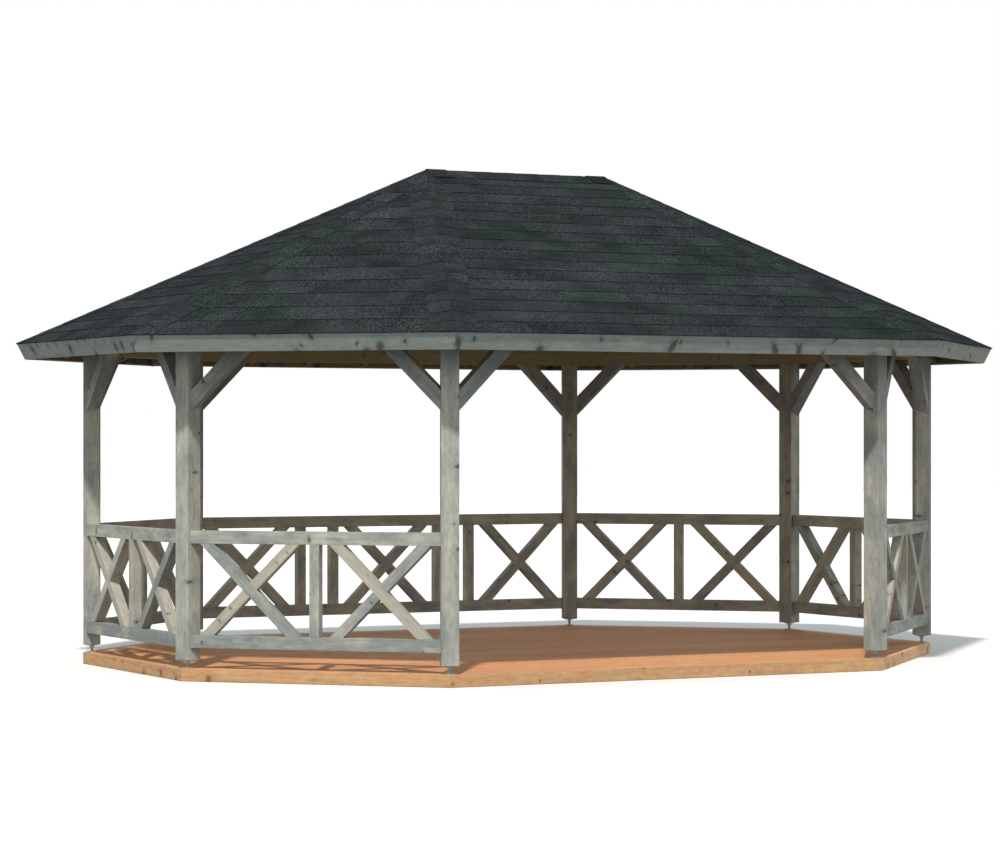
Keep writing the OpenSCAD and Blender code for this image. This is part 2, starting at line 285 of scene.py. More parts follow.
def planed_softwood(name, wood, rings, stain, fresh, knot, stained=0.5, knot_r=0.007, knot_gap=0.14,
                    knots=0.40, spike=1.0, lean=0.0, blotch=0.05, roughness=0.72):
    """Planed pine or spruce. The eye sees soft pale wood with faint growth rings that run along the
    piece, a few small dark knots with the rings bent round them, short dark resin dashes, and a thin
    stain taken in clouds. The tone of a piece goes from well stained, 0, to fresh, 1, and faces marked
    as bare took no stain. Knots lie about knot_gap apart, of which the share knots shows. Spike draws
    them out across a board, and lean slants them either way."""
    pith_reach = 0.11       # how far from the pith a bearing is turned into a length
    ring_gap = 0.014
    material, tree = new_material(name)
    grain = node(tree, "ShaderNodeAttribute", attribute_name="grain").outputs["Vector"]
    tone = node(tree, "ShaderNodeAttribute", attribute_name="tone").outputs["Fac"]
    axes = node(tree, "ShaderNodeSeparateXYZ", {0: grain})

    # Knots are branches that grow out of the pith: a spot at one height and one bearing round it
    bearing = node(tree, "ShaderNodeMath", {0: axes.outputs["Y"], 1: axes.outputs["Z"]},
                   operation="ARCTAN2")
    arc = node(tree, "ShaderNodeMath", {0: bearing, 1: pith_reach}, operation="MULTIPLY")
    reach = node(tree, "ShaderNodeVectorMath", {0: grain, 1: (2.3, 0.0, 0.0)}, operation="MULTIPLY")
    slant = node(tree, "ShaderNodeTexNoise", {"Vector": reach, "Scale": 1.0, "Detail": 1.0})
    slant = node(tree, "ShaderNodeMapRange", {"Value": slant, "From Min": 0.35, "From Max": 0.65,
                 "To Min": -lean, "To Max": lean})
    height = node(tree, "ShaderNodeMath", {0: arc, 1: slant, 2: axes.outputs["X"]},
                  operation="MULTIPLY_ADD")
    spot = node(tree, "ShaderNodeCombineXYZ", {"X": height, "Y": arc})
    spot = node(tree, "ShaderNodeVectorMath", {0: spot, 1: (1 / knot_gap, 1 / knot_gap / spike, 0.0)},
                operation="MULTIPLY")
    # A 22 mm stir frays their outlines
    stir = node(tree, "ShaderNodeTexNoise", {"Vector": grain, "Scale": 45.0, "Detail": 3.0})
    spot = node(tree, "ShaderNodeVectorMath", {0: stir.outputs["Color"], 1: (0.14, 0.14, 0.0), 2: spot},
                operation="MULTIPLY_ADD")
    branch = node(tree, "ShaderNodeTexVoronoi", {"Vector": spot, "Scale": 1.0}, voronoi_dimensions="2D")
    chance = node(tree, "ShaderNodeSeparateColor", {0: branch.outputs["Color"]})
    size = node(tree, "ShaderNodeMapRange", {"Value": chance.outputs["Green"],
                "To Min": 0.5 * knot_r / knot_gap, "To Max": 1.5 * knot_r / knot_gap})
    kept = node(tree, "ShaderNodeMath", {0: chance.outputs["Red"], 1: knots}, operation="LESS_THAN")
    off = node(tree, "ShaderNodeMath", {0: branch.outputs["Distance"], 1: size}, operation="DIVIDE")
    core = node(tree, "ShaderNodeMapRange", {"Value": off, "From Min": 0.5, "From Max": 1.6, "To Min": 1.0,
                "To Max": 0.0}, interpolation_type="SMOOTHSTEP")
    core = node(tree, "ShaderNodeMath", {0: core, 1: kept}, operation="MULTIPLY")
    halo = node(tree, "ShaderNodeMapRange", {"Value": off, "From Min": 1.0, "From Max": 4.0, "To Min": 1.0,
                "To Max": 0.0}, interpolation_type="SMOOTHSTEP")
    halo = node(tree, "ShaderNodeMath", {0: halo, 1: kept}, operation="MULTIPLY")

    # Growth rings are 2 to 4 mm apart, drawn at 14 mm so that they show as faint streaks
    square = node(tree, "ShaderNodeVectorMath", {0: grain, 1: (0.0, 1.0, 1.0)}, operation="MULTIPLY")
    radius = node(tree, "ShaderNodeVectorMath", {0: square}, operation="LENGTH")
    slow = node(tree, "ShaderNodeVectorMath", {0: grain, 1: (1.1, 8.0, 8.0)}, operation="MULTIPLY")
    wander = node(tree, "ShaderNodeTexNoise", {"Vector": slow, "Scale": 1.0, "Detail": 2.0})
    radius = node(tree, "ShaderNodeMath", {0: wander, 1: 0.05, 2: radius}, operation="MULTIPLY_ADD")
    radius = node(tree, "ShaderNodeMath", {0: halo, 1: ring_gap, 2: radius}, operation="MULTIPLY_ADD")
    turn = node(tree, "ShaderNodeMath", {0: radius, 1: 1 / ring_gap}, operation="MULTIPLY")
    turn = node(tree, "ShaderNodeMath", {0: turn}, operation="FRACT")
    ring = node(tree, "ShaderNodeMapRange", {"Value": turn, "From Min": 0.2, "From Max": 0.95},
                interpolation_type="SMOOTHSTEP")

    # Streaks are 37 mm by 830 mm, resin dashes 12 by 100, blotches 30 by 70, the stain's clouds 110 by 250
    long = node(tree, "ShaderNodeVectorMath", {0: grain, 1: (1.2, 27.0, 27.0)}, operation="MULTIPLY")
    streak = node(tree, "ShaderNodeTexNoise", {"Vector": long, "Scale": 1.0, "Detail": 4.0,
                  "Roughness": 0.8})
    short = node(tree, "ShaderNodeVectorMath", {0: grain, 1: (10.0, 85.0, 85.0)}, operation="MULTIPLY")
    resin = node(tree, "ShaderNodeTexNoise", {"Vector": short, "Scale": 1.0, "Detail": 2.0,
                 "Roughness": 0.5})
    broad = node(tree, "ShaderNodeVectorMath", {0: grain, 1: (14.0, 34.0, 34.0)}, operation="MULTIPLY")
    mottle = node(tree, "ShaderNodeTexNoise", {"Vector": broad, "Scale": 1.0, "Detail": 3.0,
                  "Roughness": 0.75})
    wide = node(tree, "ShaderNodeVectorMath", {0: grain, 1: (4.0, 9.0, 9.0)}, operation="MULTIPLY")
    cloud = node(tree, "ShaderNodeTexNoise", {"Vector": wide, "Scale": 1.0, "Detail": 4.0,
                 "Roughness": 0.6})

    # Wood with its rings, then the stain, paler where the piece stayed fresh, and none where it is bare
    figure = node(tree, "ShaderNodeMath", {0: ring, 1: streak}, operation="MULTIPLY")
    colour = node(tree, "ShaderNodeMix", {"Factor": figure, "A": linear(wood), "B": linear(rings)},
                  data_type="RGBA")
    taken = node(tree, "ShaderNodeMath", {0: tone, 1: -0.34, 2: cloud}, operation="MULTIPLY_ADD")
    taken = node(tree, "ShaderNodeMapRange", {"Value": taken, "From Min": 0.34 - 0.4 * stained,
                 "From Max": 0.70 - 0.4 * stained, "To Max": 0.9})
    colour = node(tree, "ShaderNodeMix", {"Factor": taken, "A": colour, "B": linear(stain)},
                  data_type="RGBA")
    unstained = node(tree, "ShaderNodeMapRange", {"Value": tone, "From Min": 0.6, "From Max": 1.0,
                     "To Max": 0.8})
    colour = node(tree, "ShaderNodeMix", {"Factor": unstained, "A": colour, "B": linear(fresh)},
                  data_type="RGBA")
    bare = node(tree, "ShaderNodeAttribute", attribute_name="bare").outputs["Fac"]
    colour = node(tree, "ShaderNodeMix", {"Factor": bare, "A": colour, "B": linear(BARE_WOOD)},
                  data_type="RGBA")

    # Streaks and blotches change its lightness, and the dashes and knots lie over it
    light = node(tree, "ShaderNodeMapRange", {"Value": streak, "From Min": 0.3, "From Max": 0.7,
                 "To Min": 0.84, "To Max": 1.14})
    spots = node(tree, "ShaderNodeMapRange", {"Value": mottle, "From Min": 0.3, "From Max": 0.7,
                 "To Min": 1 - blotch, "To Max": 1 + blotch})
    light = node(tree, "ShaderNodeMath", {0: light, 1: spots}, operation="MULTIPLY")
    colour = node(tree, "ShaderNodeVectorMath", {0: colour, "Scale": light}, operation="SCALE")
    dashes = node(tree, "ShaderNodeMapRange", {"Value": resin, "From Min": 0.62, "From Max": 0.76,
                  "To Max": 0.35})
    colour = node(tree, "ShaderNodeMix", {"Factor": dashes, "A": colour, "B": linear(knot)},
                  data_type="RGBA")
    ringed = node(tree, "ShaderNodeMath", {0: halo, 1: 0.15}, operation="MULTIPLY")
    colour = node(tree, "ShaderNodeMix", {"Factor": ringed, "A": colour, "B": linear(knot)},
                  data_type="RGBA")
    dark = node(tree, "ShaderNodeMath", {0: core, 1: 0.75}, operation="MULTIPLY")
    colour = node(tree, "ShaderNodeMix", {"Factor": dark, "A": colour, "B": linear(knot)}, data_type="RGBA")

    relief = node(tree, "ShaderNodeMath", {0: core, 1: -1.0, 2: figure}, operation="MULTIPLY_ADD")
    surface = node(tree, "ShaderNodeBump", {"Height": relief, "Strength": 0.4, "Distance": 0.0008})
    rough = node(tree, "ShaderNodeMapRange", {"Value": streak, "To Min": roughness - 0.08,
                 "To Max": roughness + 0.10})
    shader = node(tree, "ShaderNodeBsdfPrincipled", {"Base Color": colour, "IOR": 1.45,
                  "Roughness": rough, "Normal": surface, "Specular IOR Level": 0.25})
    node(tree, "ShaderNodeOutputMaterial", {"Surface": shader})
    return material


def bitumen_felt(name):
    """Bitumen shingle pressed with slate granules. The eye sees a dull, nearly black sheet with a fine
    pale speckle, strips of differing darkness, faint green and blue casts from one batch of granules
    to the next, and a black line at each cut edge, where the granules end."""
    material, tree = new_material(name)
    grain = node(tree, "ShaderNodeAttribute", attribute_name="grain").outputs["Vector"]
    tone = node(tree, "ShaderNodeAttribute", attribute_name="tone").outputs["Fac"]
    bare = node(tree, "ShaderNodeAttribute", attribute_name="bare").outputs["Fac"]
    place = node(tree, "ShaderNodeTexCoord").outputs["Object"]
    # Batches of granules change over about 80 cm
    batch = node(tree, "ShaderNodeTexNoise", {"Vector": place, "Scale": 1.3, "Detail": 3.0,
                 "Roughness": 0.6})
    colour = node(tree, "ShaderNodeValToRGB", {"Fac": batch}, stops=[
        (0.34, "#272e2e"), (0.45, "#29302f"), (0.52, "#2b2f31"), (0.60, "#2b2e32"), (0.70, "#2d2f31")])
    # Blended bands, about 40 cm long, run along each course
    lie = node(tree, "ShaderNodeVectorMath", {0: grain, 1: (3.0, 2.4, 3.0)}, operation="MULTIPLY")
    bands = node(tree, "ShaderNodeTexNoise", {"Vector": lie, "Scale": 1.0, "Detail": 4.0,
                 "Roughness": 0.6})
    blend = node(tree, "ShaderNodeMapRange", {"Value": bands, "From Min": 0.34, "From Max": 0.66,
                 "To Min": 0.72, "To Max": 1.28})
    tab = node(tree, "ShaderNodeMapRange", {"Value": tone, "To Min": 0.86, "To Max": 1.14})
    # Granules are about 1 mm, drawn at 15 mm so that the speckle shows, and it is bolder in places
    speck = node(tree, "ShaderNodeTexNoise", {"Vector": grain, "Scale": 68.0, "Detail": 3.0,
                 "Roughness": 0.75})
    speckle = node(tree, "ShaderNodeMapRange", {"Value": speck, "From Min": 0.42, "From Max": 0.68,
                   "To Min": -0.38, "To Max": 1.3})
    bold = node(tree, "ShaderNodeTexNoise", {"Vector": place, "Scale": 2.0, "Detail": 3.0})
    bold = node(tree, "ShaderNodeMapRange", {"Value": bold, "From Min": 0.38, "From Max": 0.62,
                "To Min": 0.45, "To Max": 1.3})
    speckle = node(tree, "ShaderNodeMath", {0: speckle, 1: bold, 2: 1.0}, operation="MULTIPLY_ADD")
    shade = node(tree, "ShaderNodeMath", {0: tab, 1: speckle}, operation="MULTIPLY")
    shade = node(tree, "ShaderNodeMath", {0: shade, 1: blend}, operation="MULTIPLY")
    colour = node(tree, "ShaderNodeVectorMath", {0: colour, "Scale": shade}, operation="SCALE")
    colour = node(tree, "ShaderNodeMix", {"Factor": bare, "A": colour, "B": linear(CUT_FELT)},
                  data_type="RGBA")
    surface = node(tree, "ShaderNodeBump", {"Height": speck, "Strength": 0.4, "Distance": 0.002})
    shader = node(tree, "ShaderNodeBsdfPrincipled", {"Base Color": colour, "Roughness": 0.95,
                  "Normal": surface, "Specular IOR Level": 0.0})
    node(tree, "ShaderNodeOutputMaterial", {"Surface": shader})
    return material


def galvanised_steel(name):
    """Hot-dip galvanised steel. The eye sees matt grey zinc with faint crystal patches."""
    spangle_gap = 0.008
    material, tree = new_material(name)
    place = node(tree, "ShaderNodeTexCoord").outputs["Object"]
    spangle = node(tree, "ShaderNodeTexVoronoi", {"Vector": place, "Scale": 1 / spangle_gap})
    patch = node(tree, "ShaderNodeSeparateColor", {0: spangle.outputs["Color"]})
    colour = node(tree, "ShaderNodeValToRGB", {"Fac": patch}, stops=[(0.0, "#abadad"), (1.0, "#cacccc")])
    rough = node(tree, "ShaderNodeMapRange", {"Value": patch, "To Min": 0.42, "To Max": 0.6})
    shader = node(tree, "ShaderNodeBsdfPrincipled", {"Base Color": colour, "Metallic": 1.0,
                  "Roughness": rough})
    node(tree, "ShaderNodeOutputMaterial", {"Surface": shader})
    return material


# Pressure-treated pine with a grey stain: posts, railings and braces
stained_pine = planed_softwood(
    "grey_stained_pine", wood="#b7b6a9", rings="#9e9e93", stain="#7f8684", fresh="#aca597", knot="#38352d",
    stained=0.42, knot_r=0.008, knots=0.4, spike=1.3, blotch=0.12)
# Knottier boards at the eaves, cut so that the knots show as slanted spikes
# Its fresh colour is the one that the shaded front right fascia is drawn in, as painted light
fascia_pine = planed_softwood(
    "grey_stained_fascia_pine", wood="#9da095", rings="#898d83", stain="#8b928d", fresh="#9b9a8e",
    knot="#3a3b34", stained=0.6, knot_r=0.017, knot_gap=0.15, knots=0.85, spike=1.3, lean=1.0, blotch=0.10)
# Out of the rain, the wall plates stay browner
sheltered_pine = planed_softwood(
    "grey_stained_plate_pine", wood="#aba17c", rings="#8e8464", stain="#97957d", fresh="#ada077",
    knot="#3f3626", stained=0.35)
# Plain planed spruce, gone dull: rafters, roof boards and deck bearers
roof_spruce = planed_softwood(
    "planed_roof_spruce", wood="#8f7f5b", rings="#78694a", stain="#77735c", fresh="#907f58", knot="#42331f",
    stained=0.1)
# Oiled pine is warmer and a little shinier, with bolder knots in the rims
deck_pine = planed_softwood(
    "oiled_deck_pine", wood="#dc9e6d", rings="#c98857", stain="#c68f65", fresh="#e2a672", knot="#7c4a2c",
    stained=0.1, blotch=0.04, roughness=0.62)
# Its fresh colour is the pale one that the shaded front right rim is drawn in, as painted light, and some
# other rims by chance
rim_pine = planed_softwood(
    "oiled_rim_pine", wood="#ce9b70", rings="#b98558", stain="#bf9e74", fresh="#e6bd95", knot="#7c4624",
    stained=0.35, knot_r=0.016, knot_gap=0.20, knots=0.6, blotch=0.15, roughness=0.62)
shingle_felt = bitumen_felt("slate_granule_bitumen_felt")
zinc_steel = galvanised_steel("galvanised_steel")


# ---- Deck --------------------------------------------------------------------------------------
def deck_edge_cuts(reach):
    """The eight upright planes at reach beyond the post lines, in the gazebo's own space."""
    cuts = []
    for side in SIDES:
        place = at_side(side)
        cuts.append((place @ Vector((LINE + reach, 0, 0)), place.to_3x3() @ OUTWARD))
    return cuts


def deck_boards():
    """Rows of boards about 120 mm apart, each of two lengths that butt over one of the joists."""
    stock = Stock()
    gap, rim_gap, butt_gap, cover = 0.006, 0.004, 0.002, 0.1205
    cuts = deck_edge_cuts(DECK_OUT - RIM_T - rim_gap)
    across = 2 * (LINE + DECK_OUT - RIM_T)
    count = round(across / cover)
    cover = across / count
    z = DECK_Z - DECK_BOARD_T / 2
    for n in range(count):
        y = -across / 2 + (n + 0.5) * cover
        joint = JOIST_SPACING * rng.choice((-3, -1, 0, 1, 3))
        for x0, x1 in ((-OVERLONG, joint - butt_gap / 2), (joint + butt_gap / 2, OVERLONG)):
            timber(stock, Matrix(), (x0, y, z), (x1, y, z), UP, cover - gap, DECK_BOARD_T, cuts)
    return stock.piece("deck_planks", deck_pine, "deck_pine", "deck_boards")


def deck_joists():
    stock = Stock()
    cuts = deck_edge_cuts(DECK_OUT - RIM_T)
    height = DECK_Z - DECK_BOARD_T
    last = round((LINE + HUB_X) / JOIST_SPACING) - 1    # the end post lines have none
    for n in range(-last, last + 1):
        x = n * JOIST_SPACING
        timber(stock, Matrix(), (x, -OVERLONG, height / 2), (x, OVERLONG, height / 2), UP, JOIST_W, height,
               cuts)
    return stock.piece("deck_bearers", roof_spruce, "deck_pine", "deck_joists")


# Tones of these rims, 0 stained to 1 fresh: paler on the shaded front right as painted light,
# darker on the lit front and front left as painted shade. The other rims are left to chance
RIM_TONE_FOR_LIGHT_AND_SHADE = {"front_left": 0.4, "front": 0.3, "front_right": 1.0}


def deck_rim(sides, name, node_name):
    stock = Stock()
    x = LINE + DECK_OUT - RIM_T / 2
    for side in sides:
        mitred_bar(stock, side, x, DECK_Z / 2, OUTWARD, DECK_Z, RIM_T, tone=RIM_TONE_FOR_LIGHT_AND_SHADE.get(side), arris=0.004)
    return stock.piece(name, rim_pine, "deck_pine", node_name)


# ---- Posts and their steel feet ----------------------------------------------------------------
POST_TONE = {"front_right": 0.15}    # this post is drawn darker than the rest


def post(corner):
    stock = Stock()
    x = LINE / COS
    timber(stock, at_corner(corner), (x, 0, FOOT_Z), (x, 0, PLATE_Z), OUTWARD, POST, POST,
           tone=POST_TONE.get(corner, 0.45) + rng.uniform(0.0, 0.25), arris=0.004)
    return stock.piece("pine_post_" + corner, stained_pine, "post_pine", "post_" + corner)


def turned(stock, place, outline, sides=32):
    """A round solid from (radius, height) points."""
    bm = bmesh.new()
    rings = []
    for r, z in outline:
        angles = [math.tau * k / sides for k in range(sides)]
        rings.append([bm.verts.new((r * math.cos(a), r * math.sin(a), z)) for a in angles])
    for low, high in zip(rings, rings[1:]):
        for k in range(sides):
            bm.faces.new((low[k], low[(k + 1) % sides], high[(k + 1) % sides], high[k]))
    bm.faces.new(rings[0][::-1])
    bm.faces.new(rings[-1])
    stock.add(bm, place)


def post_feet():
    """A threaded rod between two round plates, with a weld at its foot and a nut under the top one."""
    stock = Stock()
    gap = FOOT_Z - DECK_Z
    plate_r, plate_t, ease = 0.040, 0.006, 0.001
    rod_r, thread_depth, thread_pitch, weld = 0.010, 0.0008, 0.0025, 0.004
    nut_r, nut_h, chamfer, chamfer_h = 0.0175, 0.016, 0.003, 0.0015
    top = gap - plate_t
    foot_plate = [(plate_r - ease, 0), (plate_r, ease), (plate_r, plate_t - ease), (plate_r - ease, plate_t),
                  (rod_r + weld, plate_t + ease), (rod_r, plate_t + weld)]
    thread = []
    z = plate_t
    while z < top - thread_pitch:
        thread += [(rod_r - thread_depth, z), (rod_r, z + thread_pitch / 2)]
        z += thread_pitch
    thread.append((rod_r - thread_depth, top))
    top_plate = [(plate_r - ease, top), (plate_r, top + ease), (plate_r, gap - ease), (plate_r - ease, gap)]
    nut = [(nut_r - chamfer, top - nut_h), (nut_r, top - nut_h + chamfer_h), (nut_r, top - chamfer_h),
           (nut_r - chamfer, top)]
    for corner in CORNERS:
        place = at_corner(corner) @ Matrix.Translation((LINE / COS, 0, DECK_Z))
        turned(stock, place, foot_plate)
        turned(stock, place, thread, sides=20)
        turned(stock, place, top_plate)
        turned(stock, place, nut, sides=6)
    return stock.piece("steel_post_feet", zinc_steel, "anchor_steel", "post_anchors", smooth=30)


# ---- Railings ----------------------------------------------------------------------------------
RAIL_T = rail_hi.x - rail_lo.x
RAIL_MID = (rail_lo.x + rail_hi.x) / 2
INFILL_LO, INFILL_HI = rail_lo.z + RAIL_H, rail_hi.z - RAIL_H


def crossing(stock, place, y0, y1, falling, tones):
    """Two crossed diagonals between y0 and y1, halved together: one whole, the other in two lengths
    either side of it, with a tone for each. Falling is True where the whole one falls to the right,
    as seen from outside. The run is the one at which their ends keep CROSSING_GAP from y0 and y1."""
    rise = INFILL_HI - INFILL_LO
    e = y1 - y0 - 2 * CROSSING_GAP
    w = DIAGONAL_W
    run = rise * (rise * e - w * math.sqrt(rise ** 2 + e ** 2 - w ** 2)) / (rise ** 2 - w ** 2)
    middle = Vector((RAIL_MID, (y0 + y1) / 2, (INFILL_LO + INFILL_HI) / 2))
    at_rails = [(Vector((0, 0, INFILL_LO)), -UP), (Vector((0, 0, INFILL_HI)), UP)]
    s = -1 if falling else 1
    along = Vector((0, run, s * rise)).normalized()
    other = Vector((0, run, -s * rise)).normalized()
    aside = Vector((0, -along.z, along.y))
    if aside.dot(other) < 0:
        aside = -aside
    reach = 0.8     # overlong, for the rails to cut
    timber(stock, place, middle - along * reach, middle + along * reach, OUTWARD, w, DIAGONAL_T, at_rails,
           tones[0])
    for t in (-1, 1):
        joint = (middle + aside * (t * w / 2), aside * -t)
        timber(stock, place, middle, middle + other * (t * reach), OUTWARD, w, DIAGONAL_T,
               at_rails + [joint], tones[1])


def rails(stock, side):
    """The low rail took the stain best. Both rails are drawn darker on the left and front left, where the
    key light falls, and paler on the other sides, which are in shade, as painted shade and light.
    """
    low_tone, top_tone = (0.05, 0.45) if side in ("left", "front_left") else (0.3, 0.55)
    for z, tone in ((rail_lo.z + RAIL_H / 2, low_tone), (rail_hi.z - RAIL_H / 2, top_tone)):
        mitred_bar(stock, side, RAIL_MID, z, OUTWARD, RAIL_H, RAIL_T, POST / 2,
                   tone + rng.uniform(-0.05, 0.05))


def upright(stock, side, y):
    timber(stock, at_side(side), (RAIL_MID, y, INFILL_LO), (RAIL_MID, y, INFILL_HI), OUTWARD, UPRIGHT_W,
           RAIL_T, tone=rng.uniform(0.4, 0.7))


def post_face(side):
    """How far from a side's middle the post faces stand that a railing meets."""
    return half(side, rail_hi.x) - POST / 2 / COS


def short_railing(side, falling=True, tones=((0.25, 0.9), (0.85, 0.35))):
    """An upright in the middle and a crossing on each side of it, with the tones of each."""
    stock = Stock()
    rails(stock, side)
    upright(stock, side, 0)
    face = post_face(side)
    crossing(stock, at_side(side), -face, -UPRIGHT_W / 2, falling, tones[0])
    crossing(stock, at_side(side), UPRIGHT_W / 2, face, falling, tones[1])
    return stock.piece("pine_railing_" + side, stained_pine, "railing_pine", "railing_" + side)


def long_railing(side):
    """Two pairs of uprights, with a crossing between them and one on each side."""
    stock = Stock()
    rails(stock, side)
    inner = (half(side) - UPRIGHT_PAIR) / 3
    outer = inner + UPRIGHT_PAIR
    for y in (-outer, -inner, inner, outer):
        upright(stock, side, y)
    face, edge = post_face(side), UPRIGHT_W / 2
    for y0, y1 in ((-face, -outer - edge), (-inner + edge, inner - edge), (outer + edge, face)):
        crossing(stock, at_side(side), y0, y1, True, (rng.uniform(0.1, 0.9), rng.uniform(0.1, 0.9)))
    return stock.piece("pine_railing_" + side, stained_pine, "railing_pine", "railing_" + side)


# ---- Wall plates and braces --------------------------------------------------------------------
def wall_plates(sides, name, node_name):
    stock = Stock()
    for side in sides:
        mitred_bar(stock, side, LINE, (PLATE_Z + PLATE_TOP) / 2, OUTWARD, PLATE_TOP - PLATE_Z, PLATE_W)
    return stock.piece(name, sheltered_pine, "frame_pine", node_name)


def braces(side):
    """One at each end of a side, at 45 degrees, cut to the plate above it and the post beside it."""
    stock = Stock()
    start = half(side) - POST / 2 / COS - BRACE_REACH + BRACE_W / math.sqrt(2)
    above, beyond = 0.2, 0.7    # overlong by this much, for the cuts
    for s in (-1, 1):
        top = Vector((BRACE_MID, s * (start - above), PLATE_Z + above))
        foot = Vector((BRACE_MID, s * (start + beyond), PLATE_Z - beyond))
        # Tones of 0 to 0.2, the most stain, draw the braces darker as painted shade under the eaves
        timber(stock, at_side(side), top, foot, OUTWARD, BRACE_W, BRACE_T,
               [(Vector((0, 0, PLATE_Z)), UP), end_cut(side, s, POST / 2)], tone=rng.uniform(0.0, 0.2))
    return stock.piece("pine_braces_" + side, stained_pine, "frame_pine", "braces_" + side)


# ---- Roof frame --------------------------------------------------------------------------------
def common_rafters():
    """Rafters that meet the ridge beam on the long sides, and stop just off the hubs on the rest."""
    stock = Stock()
    out = -SHEATHING_T - RAFTER_H / 2
    hub_gap, past_ridge, past_eave = 0.004, 1.1 * SLOPE, 0.2
    tail = (on_slope(-FASCIA_T, 0, 0), DOWN)
    for side in SIDES:
        near = RAFTER_W / 2 if flat_half(side) else HUB_R / COS + hub_gap
        head = (Vector((near, 0, 0)), -OUTWARD)
        count = math.floor((half(side) - RAFTER_W) / RAFTER_SPACING)
        for n in range(-count, count + 1):
            y = n * RAFTER_SPACING
            timber(stock, at_side(side), on_slope(-past_ridge, y, out), on_slope(past_eave, y, out),
                   (0, 1, 0), RAFTER_H, RAFTER_W, mitres(side, RAFTER_W / 2) + [head, tail], arris=0.002,
                   rounds=1)
    return stock.piece("spruce_common_rafters", roof_spruce, "rafter_pine", "common_rafters")


def hip_line():
    """The hip's run: its direction down, the way square out of it, and its eave corner."""
    slope = math.atan(math.tan(PITCH) * COS)
    down = Vector((math.cos(slope), 0, -math.sin(slope)))
    out = Vector((math.sin(slope), 0, math.cos(slope)))
    return down, out, Vector((EAVE / COS, 0, EAVE_Z))


def turned_about(s, v):
    """A side's vector in the space of its hip, which is to the right, 1, or the left, -1, of it."""
    return Matrix.Rotation(s * TURN, 3, "Z") @ v


def hip_rafters():
    """Rafters under the hips, low enough for their square tops to stay under the boards."""
    stock = Stock()
    down, out, corner_point = hip_line()
    drop = SHEATHING_T / math.cos(PITCH) + RAFTER_W / 2 * SIN * math.tan(PITCH)
    middle = corner_point + out * (-drop * out.z - HIP_H / 2)
    past_hub, past_eave = 3.6, 0.3
    cuts = [(Vector((HUB_R, 0, 0)), -OUTWARD)]
    for s in (-1, 1):
        cuts.append((turned_about(s, on_slope(-FASCIA_T, 0, 0)), turned_about(s, DOWN)))
    for corner in CORNERS:
        timber(stock, at_corner(corner), middle - down * past_hub, middle + down * past_eave, (0, 1, 0),
               HIP_H, RAFTER_W, cuts, arris=0.002, rounds=1)
    return stock.piece("spruce_hip_rafters", roof_spruce, "rafter_pine", "hip_rafters")


def ridge_hubs():
    """A square block at each end of the ridge, with its four corners cut off to make an octagon."""
    stock = Stock()
    facets = []
    for degrees in (45, 135, 225, 315):
        facing = Matrix.Rotation(math.radians(degrees), 3, "Z")
        facets.append((facing @ Vector((HUB_R, 0, 0)), facing @ OUTWARD))
    for s in (-1, 1):
        place = Matrix.Translation((s * HUB_X, 0, 0)) @ Matrix.Rotation(TURN, 4, "Z")
        timber(stock, place, (0, 0, hub_lo.z), (0, 0, hub_hi.z), OUTWARD, 2 * HUB_R, 2 * HUB_R, facets)
    return stock.piece("spruce_ridge_hubs", roof_spruce, "rafter_pine", "ridge_hubs")


def ridge_beam():
    stock = Stock()
    z = (ridge_lo.z + ridge_hi.z) / 2
    timber(stock, Matrix(), (ridge_lo.x, 0, z), (ridge_hi.x, 0, z), (0, 1, 0), ridge_hi.z - ridge_lo.z,
           RAFTER_W, arris=0.002)
    return stock.piece("spruce_ridge_beam", roof_spruce, "rafter_pine", "ridge_beam")


# Tones of these boards, 0 stained to 1 fresh: paler on the shaded front right as painted light,
# darker on the lit left and front left as painted shade. The others are at 0.3
FASCIA_TONE_FOR_LIGHT_AND_SHADE = {"left": 0.1, "front_left": 0.2, "front_right": 0.95}


def fascia(sides, name, node_name):
    """Boards square to the roof along the eaves, stained on the outside only."""
    stock = Stock()
    middle = on_slope(-FASCIA_T / 2, 0, -FASCIA_H / 2)
    for side in sides:
        mitred_bar(stock, side, middle.x, middle.z, DOWN, FASCIA_H, FASCIA_T,
                   tone=FASCIA_TONE_FOR_LIGHT_AND_SHADE.get(side, 0.3), back=Vector((0, 0, -1)))
    return stock.piece(name, fascia_pine, "fascia_pine", node_name)


# ---- Roof covering -----------------------------------------------------------------------------
RIDGE_CUT = (Vector((0, 0, 0)), -OUTWARD)
OVERWIDE = 0.1      # how far boards and felt run past the hips before they are cut to them


def roof_boards(side):
    """Tongued boards from eave to ridge; their eased edges show as grooves from below."""
    stock = Stock()
    cover, joint = 0.098, 0.0005
    count = math.ceil((SLOPE - FASCIA_T) / cover)
    for n in range(count):
        down = -FASCIA_T - (n + 0.5) * cover
        reach = half(side, EAVE + down * math.cos(PITCH)) + OVERWIDE
        a, b = on_slope(down, -reach, -SHEATHING_T / 2), on_slope(down, reach, -SHEATHING_T / 2)
        timber(stock, at_side(side), a, b, -OUT, cover - joint, SHEATHING_T - joint,
               mitres(side) + [RIDGE_CUT], arris=0.002, rounds=1)
    return stock.piece("spruce_roof_boards_" + side, roof_spruce, "rafter_pine", "roof_" + side)


COURSE = {side: 0.185 for side in SIDES}
COURSE["front_left"] = 0.229    # this face is laid wider
TAB, SLOT, TAB_T = 0.333, 0.002, 0.004
FELT_TOP, FELT_T, FELT_TONE = 0.0016, 0.0014, 0.3
CAP_T, CAP_LAP, LEAST_CAP = 0.0034, 0.03, 0.02
SLAB_EASE = 0.0012


